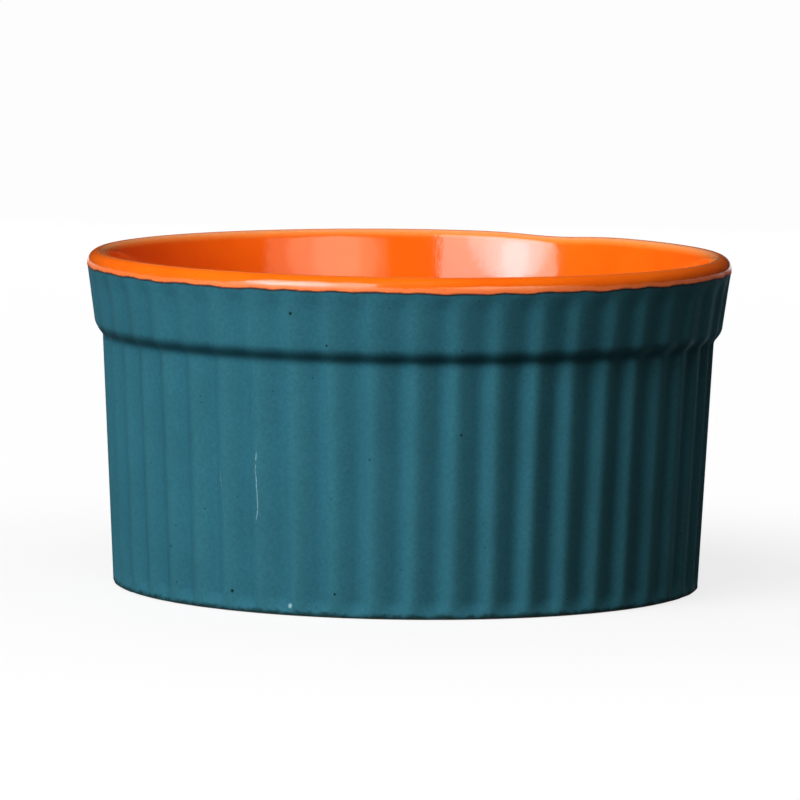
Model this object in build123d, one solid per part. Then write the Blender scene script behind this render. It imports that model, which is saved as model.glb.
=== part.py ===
from build123d import *
import math
import os

# A round fluted ramekin: a stoneware pot under three thin coats of glaze.
# Z is up, the origin is the middle of the base, and the front is towards -Y.
# Flute ridges lie on the straight outlines of wall and band, and valleys lie below them.

# Outside of the fired pot, over the glaze
rim_diameter = 90.0
overall_height = 46.5
band_height = 10.3
band_bevel_height = 1.6
band_step = 1.08
wall_draft_angle = 2.9
band_lean_angle = 7.9

# Lip: its round top takes these shares of its thickness, outside and inside
lip_thickness = 2.85
lip_outer_share = 0.645
lip_inner_share = 0.335

# Inside of the pot, which follows the outside at an even thickness
wall_thickness = 3.0
inner_step_drop = 2.6
inner_step_rise = 7.0
inner_step_radius = 12.0
floor_thickness = 3.7
inner_corner_radius = 6.0

# Underside: a bare ring round a shallow glazed recess
foot_ring_width = 3.6
foot_chamfer = 0.5
recess_height = 0.9
recess_corner_share = 0.6
bare_ring_height = 0.4

# Glaze coats, which butt at the glaze line under the lip
coat_thickness = 0.3
glaze_line_drop = 2.0
bare_foot_height = 0.8

# Flutes, in line on wall and band, which run out at the foot and at the glaze line
flute_count = 48
first_valley_angle = 5.6
wall_flute_depth = 0.45
wall_flute_run_out = 2.2
band_flute_depth = 0.26
band_flute_run_out = 2.6

# Half of a flute, from its valley to a ridge: shares of its half width, and of its depth there
valley_half_shares = [(0, 1), (0.35, 0.8), (0.7, 0.33), (1, 0)]

# Depth in the wall, as a share of it, at which the inner and outer coats are told apart
core_share = 0.6

# Overrun of trimming shapes
overrun = 5.0

# Heights of the band's lower edge, the wall's shoulder, the step inside, the floor and the glaze line
band_edge_height = overall_height - band_height
shoulder_height = band_edge_height - band_bevel_height
inner_step_base_height = shoulder_height - inner_step_drop
inner_step_top_height = inner_step_base_height + inner_step_rise
floor_height = recess_height + floor_thickness
glaze_line_height = overall_height - glaze_line_drop

# Slopes of wall and band, and the turns of the lip's two edges
wall_rise = math.tan(math.radians(wall_draft_angle))
band_rise = math.tan(math.radians(band_lean_angle))
outer_turn = math.radians(90 + band_lean_angle)
inner_turn = math.radians(90 - band_lean_angle)

# Lip radii that fill the shares of its thickness
lip_outer_radius = lip_thickness * lip_outer_share / math.tan(outer_turn / 2)
lip_inner_radius = lip_thickness * lip_inner_share / math.tan(inner_turn / 2)

# Radius at which the band's outline would meet the top, so that the lip's round is widest
band_top_radius = rim_diameter / 2 + lip_outer_radius * (math.tan(outer_turn / 2) - 1)

# A coat's thickness measured level, and the angle from one flute to the next
coat_reach = coat_thickness / math.cos(math.radians(band_lean_angle))
pitch_angle = 360 / flute_count


def band_radius(height):
    """Radius of the band's outline at a height."""
    return band_top_radius - (overall_height - height) * band_rise


def wall_radius(height):
    """Radius of the fluted wall's outline at a height."""
    shoulder_radius = band_radius(band_edge_height) - band_step
    return shoulder_radius - (shoulder_height - height) * wall_rise


def glazed_section(base_height):
    """Half section of the glazed pot without its flutes, on a foot that ends at base_height."""
    ring_radius = wall_radius(0) - foot_ring_width
    lip_radius = band_radius(overall_height) - lip_thickness
    step_top_radius = band_radius(inner_step_top_height) - lip_thickness
    step_base_radius = wall_radius(inner_step_base_height) - wall_thickness
    corners = [
        (wall_radius(base_height), base_height, 0),
        (wall_radius(shoulder_height), shoulder_height, 0),
        (band_radius(band_edge_height), band_edge_height, 0),
        (band_radius(overall_height), overall_height, lip_outer_radius),
        (lip_radius, overall_height, lip_inner_radius),
        (step_top_radius, inner_step_top_height, inner_step_radius),
        (step_base_radius, inner_step_base_height, inner_step_radius),
        (wall_radius(floor_height) - wall_thickness, floor_height, inner_corner_radius),
        (-overrun, floor_height, 0),
        (-overrun, recess_height, 0),
        (ring_radius, recess_height, recess_height * recess_corner_share),
        (ring_radius, base_height, 0),
    ]
    points = [(radius, height) for radius, height, rounding in corners]
    roundings = [rounding for radius, height, rounding in corners]
    return make_face(FilletPolyline(*points, radius=roundings, close=True))


def clay_section():
    """Half section of the clay, one coat inside the glazed pot, with its foot on the table."""
    return offset(glazed_section(-coat_thickness), -coat_thickness)


def zone(points):
    """Half section of a zone, from the straight lines round it."""
    return make_face(Polyline(*points, close=True))


def core_line():
    """Points of a line inside the clay that parts the inner side from the outer side."""
    wall_inset = wall_thickness * core_share
    lip_inset = lip_thickness * core_share
    return [
        (wall_radius(0) - wall_inset, 0),
        (wall_radius(inner_step_base_height) - wall_inset, inner_step_base_height),
        (band_radius(inner_step_top_height) - lip_inset, inner_step_top_height),
        (band_radius(glaze_line_height) - lip_inset, glaze_line_height),
    ]


def above_height(height):
    """Zone above a height, on both sides of the axis."""
    side = 2 * (rim_diameter + overall_height)
    return Pos(0, height) * Rectangle(side, side, align=(Align.CENTER, Align.MIN))


def inner_zone(base_height):
    """Zone inside the core line and above base_height, with the whole lip over the glaze line."""
    reach = rim_diameter / 2 + overrun
    top = overall_height + overrun
    above = [(reach, glaze_line_height), (reach, top), (0, top), (0, 0)]
    return zone(core_line() + above) & above_height(base_height)


def outer_zone():
    """Zone outside the core line, from the table to the glaze line."""
    reach = rim_diameter / 2 + overrun
    return zone(core_line() + [(reach, glaze_line_height), (reach, 0)])


def recess_zone(top_height):
    """Zone of the recess, from the bare ring's edge to top_height."""
    ring_middle = wall_radius(0) - foot_ring_width / 2
    base = [(0, bare_ring_height), (ring_middle, bare_ring_height)]
    return zone(base + [(ring_middle, top_height), (0, top_height)])


def turned(section, angle):
    """Solid turned through an angle, centred on +X, from what a section has beside the axis."""
    side = 2 * (rim_diameter + overall_height)
    half_plane = Rectangle(side, side, align=(Align.MIN, Align.CENTER))
    solid = revolve(Plane.XZ * (section & half_plane), Axis.Z, angle)
    return Rot(0, 0, -angle / 2) * solid


def flute_line(radius, depth):
    """Level outline of one flute, from ridge to ridge, with its valley at +X."""
    if depth == 0:
        return CenterArc((0, 0), radius, -pitch_angle / 2, pitch_angle)
    half = [(share * pitch_angle / 2, radius - depth * fall) for share, fall in valley_half_shares]
    places = [(-angle, reach) for angle, reach in reversed(half[1:])] + half
    points = [Vector(reach, 0).rotate(Axis.Z, angle) for angle, reach in places]
    tangents = [Vector(0, 1).rotate(Axis.Z, side * pitch_angle / 2) for side in (-1, 1)]
    return Spline(*points, tangents=tangents)


def side_stations():
    """Height, ridge radius and flute depth where the outside changes, from the bare foot up."""
    full_height = bare_foot_height + wall_flute_run_out
    fade_height = glaze_line_height - band_flute_run_out
    return [
        (bare_foot_height, wall_radius(bare_foot_height), 0),
        (full_height, wall_radius(full_height), wall_flute_depth),
        (shoulder_height, wall_radius(shoulder_height), wall_flute_depth),
        (band_edge_height, band_radius(band_edge_height), band_flute_depth),
        (fade_height, band_radius(fade_height), band_flute_depth),
        (glaze_line_height, band_radius(glaze_line_height), 0),
    ]


def clay_stations():
    """The same places on the clay, one coat inside, down to the foot's bevelled edge."""
    foot_radius = wall_radius(0) - coat_reach
    edge_radius = wall_radius(foot_chamfer) - coat_reach
    side = [(height, radius - coat_reach, depth) for height, radius, depth in side_stations()]
    return [(0, foot_radius - foot_chamfer, 0), (foot_chamfer, edge_radius, 0)] + side


def clay_side_slice():
    """The fluted side of the clay outside the core line, from one ridge to the next."""
    levels = []
    for height, radius, depth in clay_stations():
        line = flute_line(radius, depth)
        wedge = make_face([line, Line(line @ 1, (0, 0)), Line((0, 0), line @ 0)])
        levels.append(Pos(0, 0, height) * wedge)
    return loft(levels, ruled=True) & turned(outer_zone(), pitch_angle)


def outer_coat_slice():
    """The outer coat from one ridge to the next."""
    levels = []
    for height, radius, depth in side_stations():
        outer = flute_line(radius, depth)
        inner = flute_line(radius - coat_reach, depth)
        sides = [Line(outer @ 0, inner @ 0), Line(outer @ 1, inner @ 1)]
        levels.append(Pos(0, 0, height) * make_face([outer, inner] + sides))
    return loft(levels, ruled=True)


def whole(piece_slice):
    """The full round piece, joined from one slice for each flute."""
    turns = [first_valley_angle - 90 + index * pitch_angle for index in range(flute_count)]
    slices = [Rot(0, 0, turn) * piece_slice.solid() for turn in turns]
    return slices[0].fuse(*slices[1:], glue=True)


def stoneware_body():
    """The clay: a turned inside with floor, foot ring and lip, in one with its fluted side."""
    inside = turned(clay_section() & inner_zone(0), 360).solid()
    return whole(clay_side_slice()).fuse(inside, glue=True)


def build():
    """Every piece of the ramekin, by name."""
    coats = glazed_section(-coat_thickness) - clay_section()
    floor_core = (floor_height + recess_height) / 2
    return {
        "stoneware_body": stoneware_body(),
        "interior_glaze": turned(coats & inner_zone(floor_core), 360),
        "exterior_glaze": whole(outer_coat_slice()),
        "underside_glaze": turned(coats & recess_zone(floor_core), 360),
    }


os.makedirs("parts", exist_ok=True)
for name, piece in build().items():
    export_step(piece, os.path.join("parts", name + ".step"))
    print(name, len(piece.solids()), "solids", round(piece.volume, 1), "mm3")
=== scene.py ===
"""A round fluted ramekin, dressed over its frame: gloss orange inside, satin teal outside."""

import logging
import math
from dataclasses import dataclass
from enum import Enum
from typing import ClassVar, NamedTuple

import bmesh
import bpy
from mathutils import Matrix, Vector, noise


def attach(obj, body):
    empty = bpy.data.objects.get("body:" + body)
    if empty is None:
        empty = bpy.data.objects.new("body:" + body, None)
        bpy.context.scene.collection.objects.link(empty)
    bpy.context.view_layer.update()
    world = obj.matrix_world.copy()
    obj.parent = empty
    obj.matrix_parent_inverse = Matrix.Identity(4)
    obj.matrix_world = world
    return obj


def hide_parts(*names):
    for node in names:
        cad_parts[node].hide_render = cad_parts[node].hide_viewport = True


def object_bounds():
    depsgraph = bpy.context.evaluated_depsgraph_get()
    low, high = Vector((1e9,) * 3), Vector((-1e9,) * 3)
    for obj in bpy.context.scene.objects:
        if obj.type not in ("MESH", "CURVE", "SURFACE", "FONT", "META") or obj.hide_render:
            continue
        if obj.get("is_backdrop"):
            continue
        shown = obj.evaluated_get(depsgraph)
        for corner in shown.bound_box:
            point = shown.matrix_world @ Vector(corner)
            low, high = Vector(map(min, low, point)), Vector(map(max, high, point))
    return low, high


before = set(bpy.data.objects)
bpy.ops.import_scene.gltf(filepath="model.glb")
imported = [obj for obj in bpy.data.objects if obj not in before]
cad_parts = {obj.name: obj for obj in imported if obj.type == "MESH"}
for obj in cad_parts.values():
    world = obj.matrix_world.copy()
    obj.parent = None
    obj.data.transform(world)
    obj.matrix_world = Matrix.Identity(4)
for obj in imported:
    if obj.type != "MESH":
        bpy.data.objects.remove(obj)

log = logging.getLogger("ramekin")

MM = 0.001
FULL_TURN = 2 * math.pi
SHARP_ANGLE = math.radians(50)
# A line is cut once more only where it is longer than its rows by more than this share of a row
ROUNDING = 1e-6
# Watts from each square metre of a lamp, for brightness 1
LAMP_POWER = 4

Colour = tuple[float, float, float]
Marks = tuple[float, float, float, float]
Socket = bpy.types.NodeSocket


class Slot(Enum):
    """The record's material slots."""

    CLAY = "bare_stoneware"
    ORANGE = "orange_gloss_glaze"
    TEAL = "teal_satin_glaze"


class Mark(Enum):
    """Names of the numbers that a mesh carries for its finish."""

    RIDGE = "ridge"
    LINE = "from_glaze_line"
    FOOT = "above_foot"
    LIP = "below_lip"


class Sum(Enum):
    """Blender's names for the sums that the finishes use."""

    PLUS = "ADD"
    MINUS = "SUBTRACT"
    TIMES = "MULTIPLY"
    LARGER = "MAXIMUM"
    SIZE = "ABSOLUTE"


class Blend(Enum):
    """Blender's names for the ways to mix two colours."""

    COVER = "MIX"
    SHADE = "MULTIPLY"


class Measure(Enum):
    """Blender's names for the measures of a place."""

    AWAY = "DISTANCE"
    ALONG = "DOT_PRODUCT"


class LampShape(Enum):
    """Blender's names for the outlines of a soft lamp."""

    OBLONG = "RECTANGLE"
    OVAL = "ELLIPSE"


class Corner(NamedTuple):
    """A corner of a turned outline, in millimetres, with the longest row on the line after it."""

    radius: float
    height: float
    bend: float = 0.0
    row: float = 1.0


def smooth(value: float, low: float, high: float) -> float:
    """Share that eases from 0 where value is low to 1 where it is high, which may be under low."""
    share = min(max((value - low) / (high - low), 0.0), 1.0)
    return share * share * (3 - 2 * share)


def ramp(share: float, ease: float) -> float:
    """Climb evenly from 0 to 1, with rounded ends.

    Args:
        share: How far along, from 0 to 1.
        ease: Share of the way that each rounded end takes, up to a half.

    Returns:
        The height, from 0 to 1.
    """
    if share > 0.5:
        return 1 - ramp(1 - share, ease)
    if share < ease:
        return share * share / (2 * ease * (1 - ease))
    return (share - ease / 2) / (1 - ease)


def inset(corners: list[Corner], depth: float, row: float) -> list[Corner]:
    """Move an outline into the clay on its left.

    Args:
        corners: The outline, in the order in which the clay lies on its left.
        depth: How far it moves, in millimetres.
        row: The longest row on the moved outline.

    Returns:
        The moved corners, with bends that stay parallel to the first ones.
    """
    places = [Vector((corner.radius, corner.height)) for corner in corners]
    ways = [(after - before).normalized() for before, after in zip(places, places[1:])]
    moved = []
    for index, corner in enumerate(corners):
        way_in = ways[max(index - 1, 0)]
        way_out = ways[min(index, len(ways) - 1)]
        left_in, left_out = Vector((-way_in.y, way_in.x)), Vector((-way_out.y, way_out.x))
        shift = (left_in + left_out) * depth / (1 + left_in.dot(left_out))
        turn = way_in.cross(way_out)
        bend = max(corner.bend - math.copysign(depth, turn), 0.0) if corner.bend else 0.0
        place = places[index] + shift
        moved.append(Corner(place.x, place.y, bend, row))
    return moved


@dataclass(frozen=True)
class Rows:
    """Longest rows of the pot's surface, in millimetres, shorter where it bends or its edge waves."""

    line: float = 0.15
    lip: float = 0.18
    recess_edge: float = 0.2
    edge: float = 0.25
    lip_inside: float = 0.4
    flare: float = 0.5
    band: float = 0.6
    inner_band: float = 0.8
    wall: float = 1.25
    recess: float = 2.0
    inner_wall: float = 2.4
    floor: float = 6.0


@dataclass(frozen=True)
class PotForm:
    """The fired pot over its glaze, in millimetres and degrees, as the frame's solids have it.

    The rim stays inside the frame's box by the slack.
    """

    rim_radius: float
    height: float
    band_height: float = 10.35
    bevel_height: float = 1.3
    band_step: float = 1.06
    shoulder_bend: float = 1.0
    band_edge_bend: float = 2.2
    wall_draft: float = 2.9
    band_lean: float = 7.9
    lip_thickness: float = 2.85
    lip_outer_share: float = 0.645
    lip_inner_share: float = 0.32
    lip_face_lean: float = 4.0
    wall_thickness: float = 3.0
    step_drop: float = 2.85
    step_rise: float = 7.0
    step_bend: float = 12.0
    flare_height: float = 42.4
    flare_bend: float = 48.0
    flare_low_lean: float = 6.0
    flare_high_lean: float = 12.0
    flare_inset: float = 0.15
    floor_thickness: float = 3.7
    floor_bend: float = 6.0
    foot_ring_width: float = 3.6
    foot_bend: float = 0.3
    recess_height: float = 0.9
    recess_bend: float = 0.5
    bare_ring_height: float = 0.4
    coat: float = 0.3
    coat_edge_bend: float = 0.1
    coat_foot_bend: float = 0.09
    seam: float = 0.01
    line_drop: float = 2.0
    bare_foot: float = 0.14
    slack: float = 0.0005
    foot_rows_top: float = 3.4
    crease_rows_foot: float = 33.2
    line_rows_foot: float = 43.2
    rows: Rows = Rows()

    @classmethod
    def from_frame(cls) -> "PotForm":
        """Read the form's reach from the frame.

        Returns:
            The form, as wide and as tall as the frame's solids.
        """
        low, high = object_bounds()
        reach = min(high[0], high[1], -low[0], -low[1])
        return cls(rim_radius=reach / MM - cls.slack, height=high[2] / MM)

    @property
    def edge_height(self) -> float:
        """Height of the band's lower edge."""
        return self.height - self.band_height

    @property
    def shoulder_height(self) -> float:
        """Height of the wall's shoulder, in the crease under the band."""
        return self.edge_height - self.bevel_height

    @property
    def line_height(self) -> float:
        """Mean height of the glaze line."""
        return self.height - self.line_drop

    @property
    def floor_height(self) -> float:
        """Height of the floor inside."""
        return self.recess_height + self.floor_thickness

    @property
    def lip_bends(self) -> tuple[float, float]:
        """Radii of the lip's round.

        Returns:
            The outer and the inner radius, in millimetres.
        """
        lean = math.radians(self.band_lean)
        outer = self.lip_thickness * self.lip_outer_share / math.tan((math.pi / 2 + lean) / 2)
        lean = math.radians(self.flare_high_lean)
        inner = self.lip_thickness * self.lip_inner_share / math.tan((math.pi / 2 - lean) / 2)
        return outer, inner

    def band_radius(self, height: float) -> float:
        """Radius of the band's straight outline.

        Args:
            height: Millimetres above the table.

        Returns:
            The radius at that height, in millimetres.
        """
        lean = math.radians(self.band_lean)
        swell = self.lip_bends[0] * (math.tan((math.pi / 2 + lean) / 2) - 1)
        return self.rim_radius + swell - (self.height - height) * math.tan(lean)

    def wall_radius(self, height: float) -> float:
        """Radius of the wall's straight outline at a height."""
        shoulder = self.band_radius(self.edge_height) - self.band_step
        return shoulder - (self.shoulder_height - height) * math.tan(math.radians(self.wall_draft))

    def side(self, foot: float) -> list[Corner]:
        """Outline of the outside, from the foot up.

        Args:
            foot: Height at which it starts, in millimetres.

        Returns:
            Its corners up to the glaze line.
        """
        rows = self.rows
        low, crease, high = self.foot_rows_top, self.crease_rows_foot, self.line_rows_foot
        shoulder, edge, line = self.shoulder_height, self.edge_height, self.line_height
        return [
            Corner(self.wall_radius(foot), foot, self.coat_foot_bend, rows.edge),
            Corner(self.wall_radius(low), low, 0, rows.wall),
            Corner(self.wall_radius(crease), crease, 0, rows.edge),
            Corner(self.wall_radius(shoulder), shoulder, self.shoulder_bend, rows.edge),
            Corner(self.band_radius(edge), edge, self.band_edge_bend, rows.band),
            Corner(self.band_radius(high), high, 0, rows.line),
            Corner(self.band_radius(line), line, self.coat_edge_bend, rows.line),
        ]

    def lip(self) -> list[Corner]:
        """Outline of the lip.

        Returns:
            Its corners, from the glaze line over the top to the inner wall.
        """
        line = self.line_height + self.seam
        lean = math.radians(self.lip_face_lean)
        edge = self.rim_radius - (self.height - line) * math.tan(lean)
        crest = self.band_radius(self.height) - self.lip_thickness * self.lip_outer_share
        bend = (edge - crest) / math.tan((math.pi / 2 - lean) / 2)
        flare = self.flare()
        top = flare.radius + (self.height - flare.height) * math.tan(math.radians(self.flare_high_lean))
        return [
            Corner(self.rim_radius, line, 0, self.rows.lip),
            Corner(edge, self.height, bend, self.rows.lip),
            Corner(top, self.height, self.lip_bends[1], self.rows.lip_inside),
        ]

    def flare(self) -> Corner:
        """Place where the inner wall starts to open wider.

        Returns:
            Its corner.
        """
        base = self.shoulder_height - self.step_drop + self.step_rise
        radius = self.band_radius(base) - self.lip_thickness - self.flare_inset
        radius += (self.flare_height - base) * math.tan(math.radians(self.flare_low_lean))
        return Corner(radius, self.flare_height, self.flare_bend, self.rows.flare)

    def inside(self) -> list[Corner]:
        """Outline of the inside.

        Returns:
            Its corners, from under the lip to the middle of the floor.
        """
        rows = self.rows
        base, floor = self.shoulder_height - self.step_drop, self.floor_height
        top = base + self.step_rise
        band = self.band_radius(top) - self.lip_thickness - self.flare_inset
        return [
            self.flare(),
            Corner(band, top, self.step_bend, rows.inner_band),
            Corner(self.wall_radius(base) - self.wall_thickness, base, self.step_bend, rows.inner_wall),
            Corner(self.wall_radius(floor) - self.wall_thickness, floor, self.floor_bend, rows.floor),
            Corner(0, floor, 0, rows.floor),
        ]

    def recess(self) -> list[Corner]:
        """Outline of the glazed recess underneath.

        Returns:
            Its corners, from its middle to the bare ring.
        """
        ring = self.wall_radius(0) - self.foot_ring_width
        return [
            Corner(0, self.recess_height, 0, self.rows.recess),
            Corner(ring, self.recess_height, self.recess_bend, self.rows.recess_edge),
            Corner(ring, self.bare_ring_height, self.coat_edge_bend, self.rows.recess_edge),
        ]

    def middle_radius(self, height: float) -> float:
        """Radius inside the clay, between the fluted side and the smooth one.

        Args:
            height: Millimetres above the table.

        Returns:
            The radius at that height, in millimetres.
        """
        if height > self.edge_height:
            return self.band_radius(height) - self.lip_thickness / 2
        return self.wall_radius(height) - self.wall_thickness / 2


@dataclass(frozen=True)
class Fluting:
    """Upright flutes, steeper on the left of each ridge than on its right, in line on wall and band."""

    form: PotForm
    count: int = 48
    first_ridge: float = 1.5
    steep_share: float = 0.4
    steep_ease: float = 0.35
    gentle_ease: float = 0.25
    wall_depth: float = 0.70
    band_depth: float = 0.40
    step_below: float = 0.6
    step_above: float = 0.4
    foot_lead: float = 0.6
    foot_run_out: float = 2.4
    line_lead: float = 0.3
    line_run_out: float = 2.8
    uneven_depth: float = 0.12
    uneven_angle: float = 0.35
    uneven_flutes: float = 7.0
    uneven_height: float = 40.0
    depth_layer: float = 9.0

    def drift(self, angle: float, height: float) -> tuple[float, float]:
        """Hand-made unevenness of the flutes at a place.

        Args:
            angle: Degrees from the front towards +X.
            height: Millimetres above the table.

        Returns:
            Shift of the angle in degrees, and the factor on the depth.
        """
        around = self.count / self.uneven_flutes
        turn = math.radians(angle)
        place = Vector((around * math.cos(turn), around * math.sin(turn), height / self.uneven_height))
        shift = self.uneven_angle * noise.noise(place)
        factor = 1 + self.uneven_depth * noise.noise(place + Vector((0, 0, self.depth_layer)))
        return shift, factor

    def ridge(self, angle: float, height: float) -> float:
        """Nearness of a ridge.

        Args:
            angle: Degrees from the front towards +X.
            height: Millimetres above the table.

        Returns:
            A number from 0 in a valley to 1 on a ridge.
        """
        shift = self.drift(angle, height)[0]
        past_valley = ((angle + shift - self.first_ridge) * self.count / 360 + self.steep_share) % 1.0
        if past_valley < self.steep_share:
            return ramp(past_valley / self.steep_share, self.steep_ease)
        return ramp((1 - past_valley) / (1 - self.steep_share), self.gentle_ease)

    def depth(self, height: float) -> float:
        """Depth of the flutes.

        Args:
            height: Millimetres above the table.

        Returns:
            The depth at that height, in millimetres.
        """
        form = self.form
        step = smooth(height, form.shoulder_height - self.step_below, form.edge_height + self.step_above)
        full = self.wall_depth * (1 - step) + self.band_depth * step
        foot = smooth(height, form.bare_foot - self.foot_lead, form.bare_foot + self.foot_run_out)
        line = smooth(height, form.line_height + self.line_lead, form.line_height - self.line_run_out)
        return full * foot * line


class Ripple(NamedTuple):
    """A soft wave round the pot: its length in millimetres, its strength, and its layer of the noise."""

    size: float
    share: float
    layer: float


@dataclass(frozen=True)
class HandWork:
    """What the potter's hand and the kiln leave: a wavy glaze line and a rim that isn't quite true."""

    form: PotForm
    fluting: Fluting
    line_ripples: tuple[Ripple, ...] = (Ripple(5.0, 1.0, 3.5), Ripple(1.7, 0.5, 5.5))
    line_wave: float = 0.17
    line_valley_drop: float = 0.1
    line_reach: float = 1.5
    line_hold: float = 0.2
    foot_ripples: tuple[Ripple, ...] = (Ripple(3.0, 1.0, 7.5), Ripple(0.9, 0.6, 8.5))
    foot_wave: float = 0.03
    foot_ridge_rise: float = 0.06
    foot_ridge_middle: float = 0.3
    foot_reach: float = 2.2
    rim_ripples: tuple[Ripple, ...] = (Ripple(22.0, 1.0, 1.5),)
    rim_wave: float = 0.05
    rim_dip: float = 0.4
    rim_dip_angle: float = 151.0
    rim_dip_width: float = 9.0
    inner_wave: float = 0.06
    inner_wave_size: float = 14.0
    inner_calm_lip: float = 3.0
    inner_calm_middle: float = 10.0

    def around(self, angle: float, ripples: tuple[Ripple, ...]) -> float:
        """Add up soft waves round the pot.

        Args:
            angle: Degrees from the front towards +X.
            ripples: The waves.

        Returns:
            Their sum at that angle.
        """
        turn = math.radians(angle)
        total = 0.0
        for ripple in ripples:
            reach = self.form.rim_radius / ripple.size
            place = Vector((reach * math.cos(turn), reach * math.sin(turn), ripple.layer))
            total += ripple.share * noise.noise(place)
        return total

    def line_shift(self, angle: float) -> float:
        """Height of the glaze line over its mean at an angle, in millimetres."""
        valley = 1 - self.fluting.ridge(angle, self.form.line_height)
        return self.line_wave * self.around(angle, self.line_ripples) - self.line_valley_drop * valley

    def foot_shift(self, angle: float) -> float:
        """Height of the outer coat's lower edge over its mean at an angle, in millimetres."""
        ridge = self.fluting.ridge(angle, self.form.bare_foot) - self.foot_ridge_middle
        return self.foot_ridge_rise * ridge + self.foot_wave * self.around(angle, self.foot_ripples)

    def rim_shift(self, angle: float, height: float) -> float:
        """How far the rim has sunk.

        Args:
            angle: Degrees from the front towards +X.
            height: Millimetres above the table.

        Returns:
            The shift at that place, in millimetres, as a number under zero.
        """
        near = (angle - self.rim_dip_angle + 180) % 360 - 180
        dip = self.rim_dip * math.exp(-((near / self.rim_dip_width) ** 2))
        wave = self.rim_wave * (1 + self.around(angle, self.rim_ripples)) / 2
        return -(dip + wave) * smooth(height, self.form.edge_height, self.form.height)

    def shape(self, bm: bmesh.types.BMesh, moves_edges: bool) -> None:
        """Cut the flutes and bend the rim of a mesh in millimetres.

        Args:
            bm: A turned mesh of the pot or of one of its coats.
            moves_edges: Whether the coat's edges wave too.
        """
        form = self.form
        layers = [bm.verts.layers.float.new(mark.value) for mark in Mark]
        for vert in bm.verts:
            angle = math.degrees(math.atan2(vert.co.x, -vert.co.y))
            radius, height = vert.co.xy.length, vert.co.z
            if radius > form.middle_radius(height):
                radius, lift, marks = self.outer_place(angle, radius, height, moves_edges)
            else:
                radius, lift, marks = self.inner_place(angle, radius, height)
            for layer, value in zip(layers, marks):
                vert[layer] = value
            turn = math.radians(angle)
            sunk = self.rim_shift(angle, height)
            vert.co = (radius * math.sin(turn), -radius * math.cos(turn), height + lift + sunk)

    def outer_place(
        self, angle: float, radius: float, height: float, moves_edges: bool,
    ) -> tuple[float, float, Marks]:
        """Where a place on the outside ends up.

        Args:
            angle: Degrees from the front towards +X.
            radius: Its radius before, in millimetres.
            height: Its height before, in millimetres.
            moves_edges: Whether the coat's edges wave too.

        Returns:
            Its radius, its lift, and its marks.
        """
        form, fluting = self.form, self.fluting
        from_line = abs(height - form.line_height)
        lift = 0.0
        if moves_edges:
            line = self.line_shift(angle) * smooth(from_line, self.line_reach, self.line_hold)
            foot = self.foot_shift(angle) * smooth(height, form.bare_foot + self.foot_reach, form.bare_foot)
            radius += line * math.tan(math.radians(form.band_lean))
            radius = min(radius + foot * math.tan(math.radians(form.wall_draft)), form.rim_radius)
            lift = line + foot
        ridge = fluting.ridge(angle, height)
        depth = fluting.depth(height) * fluting.drift(angle, height)[1]
        radius -= depth * (1 - ridge)
        tone = 0.5 + (ridge - 0.5) * depth / fluting.wall_depth
        return radius, lift, (tone, from_line, height - form.bare_foot, height - form.height)

    def inner_place(self, angle: float, radius: float, height: float) -> tuple[float, float, Marks]:
        """Where a place on the inside or underneath ends up.

        Args:
            angle: Degrees from the front towards +X.
            radius: Its radius before, in millimetres.
            height: Its height before, in millimetres.

        Returns:
            Its radius, its lift, and its marks.
        """
        form = self.form
        far = form.rim_radius
        if height < form.floor_height - form.coat - form.seam:
            return radius, 0.0, (0.5, far, height - form.bare_ring_height, far)
        turn = math.radians(angle)
        place = Vector((radius * math.cos(turn), radius * math.sin(turn), height)) / self.inner_wave_size
        wave = self.inner_wave * noise.noise(place)
        below_lip = form.height - height
        away = smooth(below_lip, 0, self.inner_calm_lip) * smooth(radius, 0, self.inner_calm_middle)
        return radius + wave * away, 0.0, (0.5, far, far, below_lip)


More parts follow.
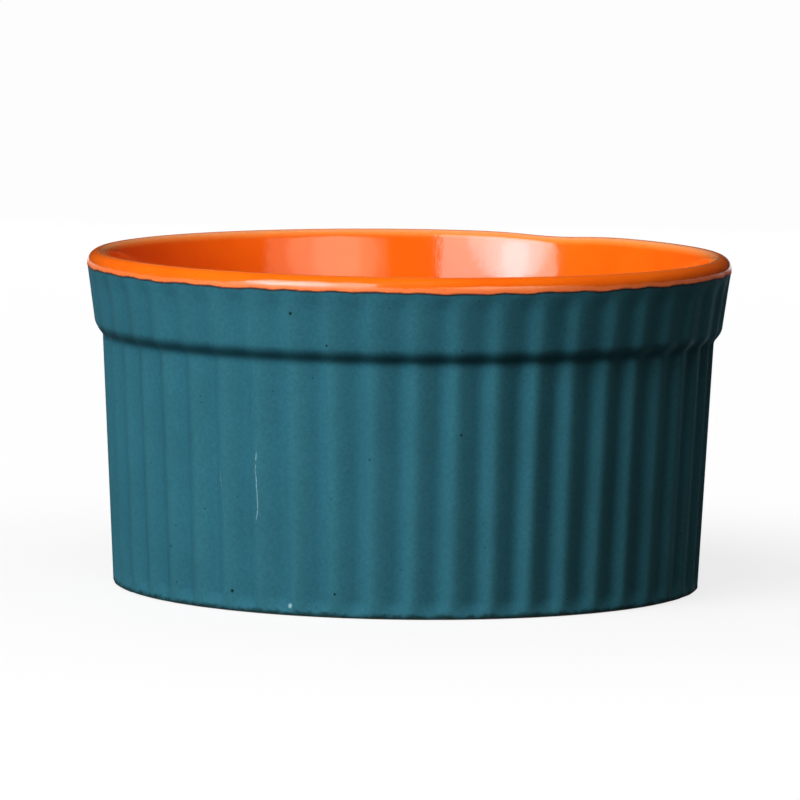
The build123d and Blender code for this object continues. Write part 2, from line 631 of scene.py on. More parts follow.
@dataclass(frozen=True)
class Lathe:
    """Turns outlines into closed meshes, from one sector that is doubled until it goes round."""

    columns: int = 768
    doublings: int = 4
    widest_turn: float = math.radians(20)
    merge_distance: float = 1e-4

    def wire(self, bm: bmesh.types.BMesh, corners: list[Corner], closed: bool) -> None:
        """Draw an outline with rounded corners in the plane of the axis.

        Args:
            bm: The mesh that gets it.
            corners: Its corners in order, in millimetres.
            closed: Whether the last corner joins the first.
        """
        rows = bm.edges.layers.float.new("row")
        verts = [bm.verts.new((corner.radius, 0, corner.height)) for corner in corners]
        ends = verts[1:] + (verts[:1] if closed else [])
        for vert, end, corner in zip(verts, ends, corners):
            bm.edges.new((vert, end))[rows] = corner.row
        places = [vert.co.copy() for vert in verts]
        for index, corner in enumerate(corners):
            if not corner.bend:
                continue
            before, after = places[index - 1], places[(index + 1) % len(places)]
            turn = (places[index] - before).angle(after - places[index])
            reach = corner.bend * math.tan(turn / 2)
            segments = math.ceil(turn * max(1 / self.widest_turn, corner.bend / corner.row))
            bmesh.ops.bevel(
                bm, geom=[verts[index]], offset=reach, offset_type="OFFSET", affect="VERTICES",
                segments=segments, profile=0.5, material=-1,
            )
        rows = bm.edges.layers.float["row"]
        for edge in list(bm.edges):
            cuts = math.ceil(edge.calc_length() / edge[rows] - ROUNDING) - 1
            if cuts > 0:
                bmesh.ops.subdivide_edges(bm, edges=[edge], cuts=cuts)

    def turn(self, corners: list[Corner], closed: bool) -> bmesh.types.BMesh:
        """Turn an outline once round the axis.

        Args:
            corners: Its corners in order, in millimetres.
            closed: Whether it is a ring of its own, or ends on the axis at both ends.

        Returns:
            The closed mesh, with its faces outwards.
        """
        bm = bmesh.new()
        self.wire(bm, corners, closed)
        sectors = 2 ** self.doublings
        bmesh.ops.spin(
            bm, geom=bm.verts[:] + bm.edges[:], cent=(0, 0, 0), axis=(0, 0, 1), dvec=(0, 0, 0),
            angle=FULL_TURN / sectors, steps=self.columns // sectors, use_merge=False,
            use_normal_flip=False, use_duplicate=False,
        )
        for doubling in range(self.doublings):
            copy = bmesh.ops.duplicate(bm, geom=bm.verts[:] + bm.edges[:] + bm.faces[:])
            moved = [item for item in copy["geom"] if isinstance(item, bmesh.types.BMVert)]
            turn = Matrix.Rotation(FULL_TURN / sectors * 2 ** doubling, 3, "Z")
            bmesh.ops.rotate(bm, cent=(0, 0, 0), matrix=turn, verts=moved)
        bmesh.ops.remove_doubles(bm, verts=bm.verts, dist=self.merge_distance)
        bmesh.ops.recalc_face_normals(bm, faces=bm.faces)
        return bm


def finished_piece(bm: bmesh.types.BMesh, name: str, slot: Slot) -> bpy.types.Object:
    """Turn a mesh in millimetres into a piece that stands for its node.

    Args:
        bm: The finished mesh, which is freed.
        name: The node's name, which the piece takes with a suffix.
        slot: The record's slot of its finish; not used.

    Returns:
        The piece, on the root body.
    """
    bmesh.ops.scale(bm, vec=(MM, MM, MM), verts=bm.verts)
    bmesh.ops.recalc_face_normals(bm, faces=bm.faces)
    for face in bm.faces:
        face.smooth = True
    for edge in bm.edges:
        edge.smooth = edge.calc_face_angle(0.0) < SHARP_ANGLE
    open_edges = sum(1 for edge in bm.edges if not edge.is_manifold)
    mesh = bpy.data.meshes.new(name + "_dressed")
    bm.to_mesh(mesh)
    bm.free()
    piece = bpy.data.objects.new(name + "_dressed", mesh)
    bpy.context.scene.collection.objects.link(piece)
    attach(piece, "root")
    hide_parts(name)
    log.info("%s: %d faces, %d open edges", piece.name, len(mesh.polygons), open_edges)
    return piece


class Grain(NamedTuple):
    """Noise: the size of its lumps in millimetres, its number of finer layers, and their strength."""

    size: float
    detail: float = 2.0
    rough: float = 0.5


class Fade(NamedTuple):
    """How a colour comes in: the number where it starts, the one where it is full, and its share there."""

    start: float
    full: float
    share: float = 1.0


class NodeSheet:
    """A material's nodes, with lengths in millimetres of the piece's own space.

    The Mix node's colours are told by number, as its sockets share their names.
    """

    mix_share: ClassVar[int] = 0
    mix_first: ClassVar[int] = 6
    mix_second: ClassVar[int] = 7
    mix_result: ClassVar[int] = 2

    def __init__(self, name: str) -> None:
        """Start a material with one shader and one set of coordinates.

        Args:
            name: The material's name.
        """
        self.material = bpy.data.materials.new(name)
        self.material.use_nodes = True
        self.tree = self.material.node_tree
        self.shader = self.tree.nodes["Principled BSDF"]
        coordinates = self.tree.nodes.new("ShaderNodeTexCoord")
        mapping = self.tree.nodes.new("ShaderNodeMapping")
        mapping.inputs["Scale"].default_value = (1 / MM, 1 / MM, 1 / MM)
        self.tree.links.new(coordinates.outputs["Object"], mapping.inputs["Vector"])
        self.place = mapping.outputs["Vector"]

    def put(self, node: bpy.types.Node, socket: int | str, value: object) -> None:
        """Set or link one input of a node.

        Args:
            node: The node.
            socket: The input's name or number.
            value: A number, a colour, a vector or another node's output.
        """
        target = node.inputs[socket]
        if isinstance(value, Socket):
            self.tree.links.new(value, target)
        elif target.type == "RGBA":
            target.default_value = (*value, 1.0)
        else:
            target.default_value = value

    def math(self, operation: Sum, first: Socket | float, second: Socket | float = 0.0) -> Socket:
        """Work out one number from one or two.

        Args:
            operation: The sum.
            first: A number or an output.
            second: A number or an output.

        Returns:
            The output with the result.
        """
        node = self.tree.nodes.new("ShaderNodeMath")
        node.operation = operation.value
        self.put(node, 0, first)
        self.put(node, 1, second)
        return node.outputs[0]

    def ease(self, value: Socket, low: float, high: float, start: float = 0.0, end: float = 1.0) -> Socket:
        """Carry a number smoothly from one range to another.

        Args:
            value: The output with the number.
            low: The number that gives start.
            high: The number that gives end.
            start: The result at low and beyond.
            end: The result at high and beyond.

        Returns:
            The output with the result.
        """
        node = self.tree.nodes.new("ShaderNodeMapRange")
        node.interpolation_type = "SMOOTHSTEP"
        if low > high:
            low, high, start, end = high, low, end, start
        sockets = {"Value": value, "From Min": low, "From Max": high, "To Min": start, "To Max": end}
        for socket, number in sockets.items():
            self.put(node, socket, number)
        return node.outputs["Result"]

    def fade(self, value: Socket, fade: Fade) -> Socket:
        """Share of a colour that comes in with a number."""
        return self.ease(value, fade.start, fade.full, 0.0, fade.share)

    def swing(self, grain: Socket, middle: float, reach: float, spread: float = 0.2) -> Socket:
        """Noise that swings round middle by reach, and is at its ends where it is spread from a half."""
        return self.ease(grain, 0.5 - spread, 0.5 + spread, middle - reach, middle + reach)

    def mix(
        self,
        share: Socket | float,
        first: Socket | Colour,
        second: Socket | Colour,
        blend: Blend = Blend.COVER,
    ) -> Socket:
        """Mix two colours.

        Args:
            share: How much of the second, as a number or an output.
            first: A colour or an output.
            second: A colour or an output.
            blend: The way to mix them.

        Returns:
            The output with the colour.
        """
        node = self.tree.nodes.new("ShaderNodeMix")
        node.data_type = "RGBA"
        node.blend_type = blend.value
        self.put(node, self.mix_share, share)
        self.put(node, self.mix_first, first)
        self.put(node, self.mix_second, second)
        return node.outputs[self.mix_result]

    def grain(self, grain: Grain) -> Socket:
        """Lay noise through the piece.

        Args:
            grain: The noise.

        Returns:
            The output with a number from 0 to 1.
        """
        node = self.tree.nodes.new("ShaderNodeTexNoise")
        scale = 1 / grain.size
        sockets = {"Vector": self.place, "Scale": scale, "Detail": grain.detail, "Roughness": grain.rough}
        for socket, value in sockets.items():
            self.put(node, socket, value)
        return node.outputs["Fac"]

    def mark(self, mark: Mark) -> Socket:
        """Read a number that the mesh carries.

        Args:
            mark: Its name.

        Returns:
            The output with the number.
        """
        node = self.tree.nodes.new("ShaderNodeAttribute")
        node.attribute_name = mark.value
        return node.outputs["Fac"]

    def measure(self, measure: Measure, vector: Vector) -> Socket:
        """Measure the place on the piece against a vector.

        Args:
            measure: The measure.
            vector: A point or a direction.

        Returns:
            The output with the measure in millimetres.
        """
        node = self.tree.nodes.new("ShaderNodeVectorMath")
        node.operation = measure.value
        self.put(node, 0, self.place)
        self.put(node, 1, tuple(vector))
        return node.outputs["Value"]

    def away_from(self, point: Vector) -> Socket:
        """Distance in millimetres from a point."""
        return self.measure(Measure.AWAY, point)

    def along(self, way: Vector) -> Socket:
        """Distance in millimetres from the origin along a direction."""
        return self.measure(Measure.ALONG, way)

    def bump(self, heights: list[tuple[Socket, float]]) -> None:
        """Give the shader relief.

        Args:
            heights: Pairs of an output from 0 to 1 and its height in millimetres.
        """
        normal = None
        for height, reach in heights:
            node = self.tree.nodes.new("ShaderNodeBump")
            self.put(node, "Distance", reach * MM)
            self.put(node, "Height", height)
            if normal:
                self.put(node, "Normal", normal)
            normal = node.outputs["Normal"]
        self.put(self.shader, "Normal", normal)

    def finish(self, sockets: dict[str, object]) -> bpy.types.Material:
        """Set the shader's own sockets.

        Args:
            sockets: Values or outputs by socket name.

        Returns:
            The material.
        """
        for socket, value in sockets.items():
            self.put(self.shader, socket, value)
        return self.material


class Speck(NamedTuple):
    """A pinhole or fleck: degrees from the front, height, and reach from its middle in millimetres."""

    angle: float
    height: float
    reach: float


class Scratch(NamedTuple):
    """An upright scratch: degrees from the front, lowest and highest end, and reach to either side."""

    angle: float
    low: float
    high: float
    reach: float


@dataclass(frozen=True)
class TealSatin:
    """Satin teal glaze, paler and a little greener on ridges, with pooled glaze and painted shade dark in
    the crease.
    """

    form: PotForm
    ridge: Colour = (0.0315, 0.151, 0.190)
    # Valley colour: glaze tone and painted shade in the flute valleys.
    hollow_tone_and_shade: Colour = (0.0267, 0.139, 0.182)
    # Pooled glaze and painted shade in the crease under the band, nearly black at its middle.
    crease_pool_and_shade: Colour = (0.003, 0.022, 0.028)
    crease_pool_and_shade_fade: Fade = Fade(1.5, 0.0, 0.62)
    crease_pool_and_shade_rise: float = 0.35
    # Browner glaze and painted shade along the foot edge, darkest at the bottom.
    foot_brown_and_shade: Colour = (0.010, 0.026, 0.026)
    foot_fade: Fade = Fade(0.8, 0.1, 0.9)
    foot_wander: float = 0.35
    line_brown: Colour = (0.030, 0.018, 0.013)
    line_fade: Fade = Fade(0.26, 0.06, 0.85)
    line_wander: float = 0.08
    edge_grain: Grain = Grain(1.1)
    pinhole: Colour = (0.006, 0.016, 0.018)
    pinhole_cell: float = 2.4
    pinhole_fade: Fade = Fade(0.143, 0.055, 0.8)
    pinholes: tuple[Speck, ...] = (
        Speck(-34.9, 2.8, 0.40), Speck(-3.2, 7.6, 0.42), Speck(-32.5, 19.9, 0.24), Speck(-49.7, 3.0, 0.28),
        Speck(-50.9, 7.9, 0.22), Speck(-55.2, 12.7, 0.22), Speck(-7.0, 21.7, 0.32), Speck(-14.1, 16.2, 0.20),
        Speck(-7.5, 7.8, 0.28), Speck(-13.4, 3.3, 0.26), Speck(-20.9, 41.3, 0.32), Speck(-14.5, 37.1, 0.26),
        Speck(4.0, 28.3, 0.22), Speck(9.9, 25.2, 0.26),
    )
    fleck: Colour = (0.34, 0.54, 0.56)
    flecks: tuple[Speck, ...] = (
        Speck(-22.5, 1.4, 0.55), Speck(-37.3, 27.5, 0.24), Speck(-3.0, 24.8, 0.20), Speck(-1.9, 20.3, 0.20),
    )
    speck_rim: float = 0.95
    speck_core: float = 0.35
    scratches: tuple[Scratch, ...] = (
        Scratch(-29.5, 12.2, 22.4, 0.12), Scratch(-36.9, 16.2, 19.4, 0.09),
    )
    scratch_rim: float = 0.8
    scratch_core: float = 0.3
    scratch_taper: float = 1.0
    scratch_front: Fade = Fade(1.0, 2.0, 0.65)
    scratch_grain: Grain = Grain(5.0, 2.0, 0.4)
    scratch_wobble: float = 0.6
    scratch_spread: float = 0.3
    scratch_gaps: Grain = Grain(0.7, 2.0, 0.7)
    scratch_gap_fade: Fade = Fade(0.40, 0.50)
    mottle: Grain = Grain(0.45, 3.0, 0.6)
    mottle_light: float = 0.10
    mottle_height: float = 0.012
    cloud: Grain = Grain(9.0)
    cloud_light: float = 0.05
    light_spread: float = 0.25
    dust: Grain = Grain(0.16)
    dust_height: float = 0.008
    swell: Grain = Grain(3.0)
    swell_height: float = 0.03
    roughness: float = 0.68
    roughness_swing: float = 0.05
    gloss: float = 0.02

    def material(self) -> bpy.types.Material:
        """Build the finish.

        Returns:
            The material.
        """
        sheet = NodeSheet("teal satin glaze")
        mottle = sheet.grain(self.mottle)
        up = sheet.along(Vector((0, 0, 1)))
        colour = self.ground(sheet, mottle)
        # Painted shade with pooled glaze: the crease under the band darkens towards the pool colour.
        crease = self.form.shoulder_height + self.form.bevel_height * self.crease_pool_and_shade_rise
        off = sheet.math(Sum.SIZE, sheet.math(Sum.MINUS, up, crease))
        colour = sheet.mix(sheet.fade(off, self.crease_pool_and_shade_fade), colour, self.crease_pool_and_shade)
        wander = sheet.swing(sheet.grain(self.edge_grain), 0.0, 0.5)
        # Painted shade with browner glaze: the coat darkens over its last millimetre at the foot.
        foot = sheet.math(Sum.PLUS, sheet.mark(Mark.FOOT), sheet.math(Sum.TIMES, wander, self.foot_wander))
        colour = sheet.mix(sheet.fade(foot, self.foot_fade), colour, self.foot_brown_and_shade)
        line = sheet.math(Sum.PLUS, sheet.mark(Mark.LINE), sheet.math(Sum.TIMES, wander, self.line_wander))
        colour = sheet.mix(sheet.fade(line, self.line_fade), colour, self.line_brown)
        colour = sheet.mix(self.pits(sheet), colour, self.pinhole)
        colour = sheet.mix(self.marks(sheet, up), colour, self.fleck)
        sheet.bump([
            (sheet.grain(self.dust), self.dust_height),
            (mottle, self.mottle_height),
            (sheet.grain(self.swell), self.swell_height),
        ])
        return sheet.finish({
            "Base Color": colour,
            "Roughness": sheet.swing(mottle, self.roughness, self.roughness_swing),
            "Specular IOR Level": self.gloss,
        })

    def ground(self, sheet: NodeSheet, mottle: Socket) -> Socket:
        """Colour of ridges and valleys, the valleys darker by glaze tone and painted shade, lighter and
        darker in a fine mottle and broad clouds.

        Args:
            sheet: The material's nodes.
            mottle: The output with the fine mottle's noise.

        Returns:
            The output with the colour.
        """
        # Valleys take the hollow colour, which holds painted shade as well as glaze tone.
        ridge = sheet.ease(sheet.mark(Mark.RIDGE), 0.0, 1.0)
        fine = sheet.swing(mottle, 1.0, self.mottle_light, self.light_spread)
        broad = sheet.swing(sheet.grain(self.cloud), 1.0, self.cloud_light, self.light_spread)
        light = sheet.math(Sum.TIMES, fine, broad)
        shade = sheet.tree.nodes.new("ShaderNodeCombineXYZ")
        for socket in range(3):
            sheet.put(shade, socket, light)
        return sheet.mix(1.0, sheet.mix(ridge, self.hollow_tone_and_shade, self.ridge), shade.outputs[0], Blend.SHADE)

    def surface(self, speck: Speck) -> Vector:
        """Place of a speck on the outside.

        Args:
            speck: The speck.

        Returns:
            Its middle, in millimetres.
        """
        form = self.form
        over_edge = speck.height > form.edge_height
        radius = form.band_radius(speck.height) if over_edge else form.wall_radius(speck.height)
        turn = math.radians(speck.angle)
        return Vector((radius * math.sin(turn), -radius * math.cos(turn), speck.height))

    def spots(self, sheet: NodeSheet, specks: tuple[Speck, ...]) -> Socket:
        """Share of the spots' colour at each place.

        Args:
            sheet: The material's nodes.
            specks: The spots.

        Returns:
            The output, 1 on a spot and 0 off it.
        """
        total = None
        for speck in specks:
            away = sheet.away_from(self.surface(speck))
            spot = sheet.ease(away, speck.reach * self.speck_rim, speck.reach * self.speck_core)
            total = sheet.math(Sum.LARGER, total, spot) if total else spot
        return total

    def pits(self, sheet: NodeSheet) -> Socket:
        """Share of the pinholes' colour: the few large ones, and small ones strewn all round.

        Args:
            sheet: The material's nodes.

        Returns:
            The output, up to 1 on a pinhole and 0 off it.
        """
        cells = sheet.tree.nodes.new("ShaderNodeTexVoronoi")
        cell, fade = self.pinhole_cell, self.pinhole_fade
        sheet.put(cells, "Vector", sheet.place)
        sheet.put(cells, "Scale", 1 / cell)
        in_cell = Fade(fade.start / cell, fade.full / cell, fade.share)
        strewn = sheet.fade(cells.outputs["Distance"], in_cell)
        return sheet.math(Sum.LARGER, self.spots(sheet, self.pinholes), strewn)

    def marks(self, sheet: NodeSheet, up: Socket) -> Socket:
        """Share of the pale flecks' and scratches' colour.

        Args:
            sheet: The material's nodes.
            up: The output with the height in millimetres.

        Returns:
            The output, up to 1 on a mark and 0 off it.
        """
        total = self.spots(sheet, self.flecks)
        wobble = sheet.swing(sheet.grain(self.scratch_grain), 0.0, self.scratch_wobble, self.scratch_spread)
        broken = sheet.fade(sheet.grain(self.scratch_gaps), self.scratch_gap_fade)
        for scratch in self.scratches:
            turn = math.radians(scratch.angle)
            out = sheet.along(Vector((math.sin(turn), -math.cos(turn), 0)))
            across = sheet.math(Sum.PLUS, sheet.along(Vector((math.cos(turn), math.sin(turn), 0))), wobble)
            rim, core = scratch.reach * self.scratch_rim, scratch.reach * self.scratch_core
            line = sheet.ease(sheet.math(Sum.SIZE, across), rim, core)
            low = sheet.ease(up, scratch.low, scratch.low + self.scratch_taper)
            high = sheet.ease(up, scratch.high, scratch.high - self.scratch_taper)
            for share in (sheet.math(Sum.TIMES, low, high), broken, sheet.fade(out, self.scratch_front)):
                line = sheet.math(Sum.TIMES, line, share)
            total = sheet.math(Sum.LARGER, total, line)
        return total


@dataclass(frozen=True)
class OrangeGloss:
    """Glossy orange glaze with a faint orange peel, paler on the inner lip from thinner glaze and a painted
    sheen, brown at its edge.
    """

    body: Colour = (0.975, 0.160, 0.0045)
    deep: Colour = (0.950, 0.140, 0.0035)
    cloud: Grain = Grain(6.0, 3.0)
    cloud_fade: Fade = Fade(0.3, 0.7)
    # Paler colours: thinner glaze near the glaze line, and on the inner lip thinner glaze with a painted
    # sheen.
    thin_glaze_and_sheen: Colour = (0.97, 0.300, 0.050)
    line_thin: Fade = Fade(1.2, 0.4, 0.15)
    lip_thin_and_sheen: Fade = Fade(1.3, 0.4, 0.8)
    thinnest_glaze_and_sheen: Colour = (0.98, 0.560, 0.330)
    lip_thinnest_and_sheen: Fade = Fade(0.6, 0.0, 0.4)
    crest: Fade = Fade(-0.02, 0.10)
    edge_brown: Colour = (0.07, 0.016, 0.007)
    edge_fade: Fade = Fade(0.26, 0.0, 0.95)
    edge_grain: Grain = Grain(0.9)
    edge_wander: float = 0.04
    peel: tuple[tuple[Grain, float], ...] = (
        (Grain(0.32, 1.0), 0.0055), (Grain(0.9, 1.0), 0.012), (Grain(4.5, 1.0), 0.014),
    )
    roughness: float = 0.10
    edge_roughness: float = 0.85
    edge_matt_start: float = 0.95
    edge_matt_full: float = 0.05
    ior: float = 1.75

    def material(self) -> bpy.types.Material:
        """Build the finish.

        Returns:
            The material.
        """
        sheet = NodeSheet("orange gloss glaze")
        colour = sheet.mix(sheet.fade(sheet.grain(self.cloud), self.cloud_fade), self.body, self.deep)
        wander = sheet.swing(sheet.grain(self.edge_grain), 0.0, self.edge_wander)
        line = sheet.math(Sum.PLUS, sheet.mark(Mark.LINE), wander)
        lip = sheet.math(Sum.PLUS, sheet.mark(Mark.LIP), wander)
        colour = sheet.mix(sheet.fade(line, self.line_thin), colour, self.thin_glaze_and_sheen)
        # Painted sheen with thinner glaze: the inner side of the lip turns paler towards the top.
        crest = sheet.fade(sheet.mark(Mark.LIP), self.crest)
        for fade, paler in ((self.lip_thin_and_sheen, self.thin_glaze_and_sheen), (self.lip_thinnest_and_sheen, self.thinnest_glaze_and_sheen)):
            colour = sheet.mix(sheet.math(Sum.TIMES, sheet.fade(lip, fade), crest), colour, paler)
        colour = sheet.mix(sheet.fade(line, self.edge_fade), colour, self.edge_brown)
        sheet.bump([(sheet.grain(grain), height) for grain, height in self.peel])
        start, full = self.edge_matt_start, self.edge_matt_full
        return sheet.finish({
            "Base Color": colour,
            "Roughness": sheet.ease(line, start, full, self.roughness, self.edge_roughness),
            "IOR": self.ior,
        })


@dataclass(frozen=True)
class BareStoneware:
    """Unglazed fired clay, pale and matt with a sandy grain."""

    body: Colour = (0.62, 0.52, 0.42)
    sand: Colour = (0.40, 0.31, 0.23)
    grit: Grain = Grain(0.35, 3.0, 0.7)
    grit_fade: Fade = Fade(0.5, 0.75)
    grit_height: float = 0.04
    lumps: Grain = Grain(2.5)
    lump_height: float = 0.05
    roughness: float = 0.9
    gloss: float = 0.2

    def material(self) -> bpy.types.Material:
        """Build the finish.

        Returns:
            The material.
        """
        sheet = NodeSheet("bare stoneware")
        grit = sheet.grain(self.grit)
        colour = sheet.mix(sheet.fade(grit, self.grit_fade), self.body, self.sand)
        sheet.bump([(grit, self.grit_height), (sheet.grain(self.lumps), self.lump_height)])
        return sheet.finish({
            "Base Color": colour,
            "Roughness": self.roughness,
            "Specular IOR Level": self.gloss,
        })


@dataclass(frozen=True)
class TurnedPiece:
    """A piece that is turned from its outline and then takes the flutes and the marks of the hand."""

    form: PotForm
    hand: HandWork
    lathe: Lathe

    node: ClassVar[str]
    slot: ClassVar[Slot]
    is_ring: ClassVar[bool] = False
    moves_edges: ClassVar[bool] = False

    def outline(self) -> list[Corner]:
        """Outline of the piece, which each kind gives."""
        raise NotImplementedError

    def material(self) -> bpy.types.Material:
        """Finish of the piece, which each kind gives."""
        raise NotImplementedError

    def back(self, front: list[Corner], row: float) -> list[Corner]:
        """Back of a coat, against the clay, from its front's end to its front's start."""
        return inset(front, self.form.coat - self.form.seam, row)[::-1]

    def build(self) -> bpy.types.Object:
        """Turn, shape and dress the piece.

        Returns:
            The piece, on the root body.
        """
        bm = self.lathe.turn(self.outline(), self.is_ring)
        self.hand.shape(bm, self.moves_edges)
        piece = finished_piece(bm, self.node, self.slot)
        piece.data.materials.append(self.material())
        return piece


@dataclass(frozen=True)
class StonewareBody(TurnedPiece):
    """The fired clay under the coats, bare at its foot ring."""

    side_row: float = 1.0
    ring_row: float = 0.3
    foot_row: float = 0.5
    inner_row: float = 8.0

    node: ClassVar[str] = "stoneware_body"
    slot: ClassVar[Slot] = Slot.CLAY

    def outline(self) -> list[Corner]:
        """Outline of the clay.

        Returns:
            Its corners, from the middle of its underside round to the middle of its floor.
        """
        form = self.form
        depth = form.coat + form.seam
        under = inset(form.recess(), depth, self.inner_row)[:-1]
        ground = [
            Corner(under[-1].radius, 0, form.coat_edge_bend, self.ring_row),
            Corner(form.wall_radius(0) - depth, 0, form.foot_bend, self.foot_row),
        ]
        side = inset(form.side(form.bare_foot), depth, self.side_row)[1:]
        inside = inset(form.lip() + form.inside(), depth, self.inner_row)
        return under + ground + side + inside

    def material(self) -> bpy.types.Material:
        """Bare clay."""
        return BareStoneware().material()


@dataclass(frozen=True)
class InteriorGlaze(TurnedPiece):
    """The orange coat on the inside and over the lip, down to the glaze line."""

    back_row: float = 8.0

    node: ClassVar[str] = "interior_glaze"
    slot: ClassVar[Slot] = Slot.ORANGE
    moves_edges: ClassVar[bool] = True

    def outline(self) -> list[Corner]:
        """Outline of the coat, from its back on the floor round the lip to its front on the floor."""
        front = self.form.lip() + self.form.inside()
        return self.back(front, self.back_row) + front

    def material(self) -> bpy.types.Material:
        """Orange glaze."""
        return OrangeGloss().material()


@dataclass(frozen=True)
class ExteriorGlaze(TurnedPiece):
    """The teal coat on the fluted outside, from the bare foot to the glaze line."""

    back_row: float = 3.0

    node: ClassVar[str] = "exterior_glaze"
    slot: ClassVar[Slot] = Slot.TEAL
    is_ring: ClassVar[bool] = True
    moves_edges: ClassVar[bool] = True

    def outline(self) -> list[Corner]:
        """Outline of the coat, up its front and down its back."""
        front = self.form.side(self.form.bare_foot)
        return front + self.back(front, self.back_row)

    def material(self) -> bpy.types.Material:
        """Teal glaze."""
        return TealSatin(self.form).material()


@dataclass(frozen=True)
class UndersideGlaze(TurnedPiece):
    """The teal coat in the recess underneath, inside the bare ring."""

    back_row: float = 3.0

    node: ClassVar[str] = "underside_glaze"
    slot: ClassVar[Slot] = Slot.TEAL

    def outline(self) -> list[Corner]:
        """Outline of the coat, out along its front and in along its back."""
        front = self.form.recess()
        return front + self.back(front, self.back_row)

    def material(self) -> bpy.types.Material:
        """Teal glaze."""
        return TealSatin(self.form).material()


@dataclass(frozen=True)
class Softbox:
    """A soft lamp that lights the pot, shines in its gloss, or both, in degrees and millimetres.

    A lamp that hangs lower than upright_below stands upright, and a higher one faces the pot.
    """

    name: str
    azimuth: float
    elevation: float
    distance: float
    width: float
    height: float
    brightness: float
    shape: LampShape = LampShape.OBLONG
    colour: Colour = (1.0, 1.0, 1.0)
    lights: bool = True
    shines: bool = True

    upright_below: ClassVar[float] = 45.0

    def place(self, target: Vector) -> bpy.types.Object:
        """Hang the lamp.

        Args:
            target: The point that it faces, in metres.

        Returns:
            The lamp, unseen by the camera.
        """
        turn, rise = math.radians(self.azimuth), math.radians(self.elevation)
        away = Vector((math.sin(turn) * math.cos(rise), -math.cos(turn) * math.cos(rise), math.sin(rise)))
        light = bpy.data.lights.new(self.name, "AREA")
        light.shape = self.shape.value
        light.size, light.size_y = self.width * MM, self.height * MM
        light.energy = LAMP_POWER * self.brightness * light.size * light.size_y
        light.color = self.colour
        lamp = bpy.data.objects.new(self.name, light)
        lamp.location = target + away * self.distance * MM
        lamp.rotation_mode = "QUATERNION"
        level = Vector((away.x, away.y, 0)) if self.elevation < self.upright_below else away
        lamp.rotation_quaternion = (-level).to_track_quat("-Z", "Y")
        lamp.visible_camera = False
        lamp.visible_diffuse = self.lights
        lamp.visible_glossy = self.shines
        bpy.context.scene.collection.objects.link(lamp)
        return lamp


def mix_shaders(
    tree: bpy.types.NodeTree, share: Socket, first: bpy.types.Node, second: bpy.types.Node,
) -> bpy.types.Node:
    """Mix two shaders.

    Args:
        tree: The material's nodes.
        share: The output with how much of the second.
        first: The first shader's node.
        second: The second shader's node.

    Returns:
        The mixing node.
    """
    node = tree.nodes.new("ShaderNodeMixShader")
    for socket, output in enumerate((share, first.outputs[0], second.outputs[0])):
        tree.links.new(output, node.inputs[socket])
    return node


@dataclass(frozen=True)
class StudioPaper:
    """White paper that looks pale, keeps the pot's shadow, and sends little light back up."""

    colour: Colour = (0.80, 0.80, 0.80)
    bounce_colour: Colour = (0.05, 0.05, 0.05)
    shadow_start: float = 50.0
    shadow_reach: float = 130.0
    shadow_share: float = 0.2
    far_share: float = 0.02

    def material(self) -> bpy.types.Material:
        """Build the finish.

        Returns:
            The material.
        """
        material = bpy.data.materials.new("studio paper")
        material.use_nodes = True
        tree = material.node_tree
        tree.nodes.clear()
        glow = tree.nodes.new("ShaderNodeEmission")
        pale = tree.nodes.new("ShaderNodeBsdfDiffuse")
        pale.inputs["Color"].default_value = (*self.colour, 1)
        dim = tree.nodes.new("ShaderNodeBsdfDiffuse")
        dim.inputs["Color"].default_value = (*self.bounce_colour, 1)
        clear = tree.nodes.new("ShaderNodeBsdfTransparent")
        shown = mix_shaders(tree, self.shadow(tree), glow, pale)
        lit = mix_shaders(tree, self.seen(tree), dim, shown)
        side = tree.nodes.new("ShaderNodeNewGeometry")
        both = mix_shaders(tree, side.outputs["Backfacing"], lit, clear)
        output = tree.nodes.new("ShaderNodeOutputMaterial")
        tree.links.new(both.outputs[0], output.inputs["Surface"])
        return material

    def seen(self, tree: bpy.types.NodeTree) -> Socket:
        """Tell rays that show the paper from rays that carry its light.

        Args:
            tree: The material's nodes.

        Returns:
            The output, 1 for the camera, gloss and glass.
        """
        rays = tree.nodes.new("ShaderNodeLightPath")
        seen = rays.outputs["Is Camera Ray"]
        for name in ("Is Glossy Ray", "Is Transmission Ray"):
            either = tree.nodes.new("ShaderNodeMath")
            either.operation = Sum.LARGER.value
            tree.links.new(seen, either.inputs[0])
            tree.links.new(rays.outputs[name], either.inputs[1])
            seen = either.outputs[0]
        return seen

    def shadow(self, tree: bpy.types.NodeTree) -> Socket:
        """Share of the paper that takes the pot's shadow, less farther out.

        Args:
            tree: The material's nodes.

        Returns:
            The output with the share.
        """
        place = tree.nodes.new("ShaderNodeTexCoord")
        reach = tree.nodes.new("ShaderNodeVectorMath")
        reach.operation = "LENGTH"
        tree.links.new(place.outputs["Object"], reach.inputs[0])
        share = tree.nodes.new("ShaderNodeMapRange")
        share.interpolation_type = "SMOOTHSTEP"
        tree.links.new(reach.outputs["Value"], share.inputs["Value"])
        limits = {
            "From Min": self.shadow_start * MM,
            "From Max": self.shadow_reach * MM,
            "To Min": self.shadow_share,
            "To Max": self.far_share,
        }
        for name, value in limits.items():
            share.inputs[name].default_value = value
        return share.outputs["Result"]


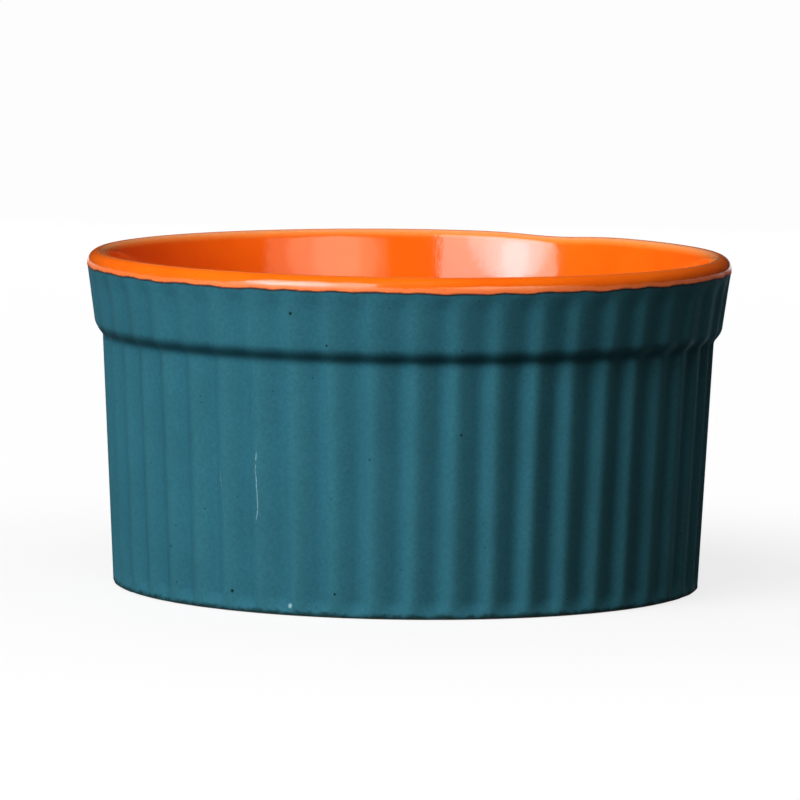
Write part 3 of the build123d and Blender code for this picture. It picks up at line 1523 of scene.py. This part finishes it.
@dataclass(frozen=True)
class Studio:
    """Camera, lamps, floor and world, with the photograph's frame in pixels."""

    photo_side: float = 800.0
    focal_pixels: float = 7074.0
    sensor: float = 36.0
    camera_distance: float = 990.0
    camera_elevation: float = 5.81
    camera_roll: float = 0.69
    nearest: float = 50.0
    farthest: float = 20000.0
    middle_height: float = 23.27
    middle_right: float = 7.8
    middle_down: float = 17.4
    floor_radius: float = 6000.0
    floor_sides: int = 64
    floor_drop: float = 0.01
    world_glow: float = 0.015
    softboxes: tuple[Softbox, ...] = (
        Softbox("key softbox", -37.5, 35, 600, 468, 611, 2.3),
        Softbox("key core", -42.5, 29, 560, 330, 400, 1.2, LampShape.OVAL, (1.0, 0.93, 1.06)),
        Softbox("key heart", -44, 24, 560, 230, 380, 0.8, LampShape.OVAL, (1.0, 0.93, 1.15)),
        Softbox("key spark", -44, 18, 560, 110, 200, 1.6, LampShape.OVAL, (1.0, 0.93, 1.15)),
        Softbox("back fill", 180, 12, 700, 380, 240, 3.6, shines=False),
        Softbox("high softbox", -22, 62, 700, 520, 520, 2.9, shines=False),
        Softbox("low fill", 55, 2, 700, 500, 90, 2.2, colour=(1.0, 0.42, 0.32), shines=False),
        Softbox("side softbox", 34.7, 16, 700, 648, 260, 0.56, colour=(1.0, 1.0, 0.72), lights=False),
        Softbox("side core", 32, 17, 700, 470, 360, 0.54, LampShape.OVAL, (1.0, 1.0, 0.72), lights=False),
        Softbox("side heart", 30, 16, 700, 250, 300, 0.47, LampShape.OVAL, (1.0, 1.0, 0.72), lights=False),
    )

    @property
    def target(self) -> Vector:
        """The middle of the pot, in metres."""
        return Vector((0, 0, self.middle_height)) * MM

    def camera(self) -> bpy.types.Object:
        """Aim the camera as the photograph's was.

        Returns:
            The camera.
        """
        rise = math.radians(self.camera_elevation)
        back = Vector((0, -math.cos(rise), math.sin(rise)))
        up = Vector((0, math.sin(rise), math.cos(rise)))
        scale = self.camera_distance / self.focal_pixels * MM
        aim = self.target - Vector((self.middle_right * scale, 0, 0)) + up * self.middle_down * scale
        data = bpy.data.cameras.new("camera")
        data.sensor_width = self.sensor
        data.lens = self.focal_pixels / self.photo_side * self.sensor
        data.clip_start, data.clip_end = self.nearest * MM, self.farthest * MM
        camera = bpy.data.objects.new("camera", data)
        place = self.target + back * self.camera_distance * MM
        turn = (aim - place).to_track_quat("-Z", "Y").to_matrix().to_4x4()
        roll = Matrix.Rotation(math.radians(self.camera_roll), 4, "Z")
        camera.matrix_world = Matrix.Translation(place) @ turn @ roll
        bpy.context.scene.collection.objects.link(camera)
        bpy.context.scene.camera = camera
        return camera

    def floor(self) -> bpy.types.Object:
        """Lay the pale floor.

        Returns:
            The floor.
        """
        bm = bmesh.new()
        bmesh.ops.create_circle(bm, cap_ends=True, segments=self.floor_sides, radius=self.floor_radius * MM)
        bmesh.ops.translate(bm, vec=(0, 0, -self.floor_drop * MM), verts=bm.verts)
        mesh = bpy.data.meshes.new("studio_floor")
        bm.to_mesh(mesh)
        bm.free()
        floor = bpy.data.objects.new("studio_floor", mesh)
        bpy.context.scene.collection.objects.link(floor)
        mesh.materials.append(StudioPaper().material())
        floor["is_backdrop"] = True
        return floor

    def world(self) -> None:
        """Set the dim glow of the room."""
        world = bpy.data.worlds.new("room")
        world.use_nodes = True
        background = world.node_tree.nodes["Background"]
        background.inputs["Color"].default_value = (1, 1, 1, 1)
        background.inputs["Strength"].default_value = self.world_glow
        bpy.context.scene.world = world

    def build(self) -> None:
        """Set up the whole studio."""
        bpy.context.scene.view_settings.view_transform = "Standard"
        self.camera()
        self.floor()
        self.world()
        for softbox in self.softboxes:
            softbox.place(self.target)


def main() -> None:
    """Build the ramekin and its studio."""
    logging.basicConfig(level=logging.INFO, format="%(name)s: %(message)s")
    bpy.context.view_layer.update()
    form = PotForm.from_frame()
    hand = HandWork(form, Fluting(form))
    lathe = Lathe()
    Studio().build()
    for maker in (StonewareBody, InteriorGlaze, ExteriorGlaze, UndersideGlaze):
        piece = maker(form, hand, lathe).build()
        log.info("%s stands for its node", piece.name)


if __name__ == "__main__":
    main()
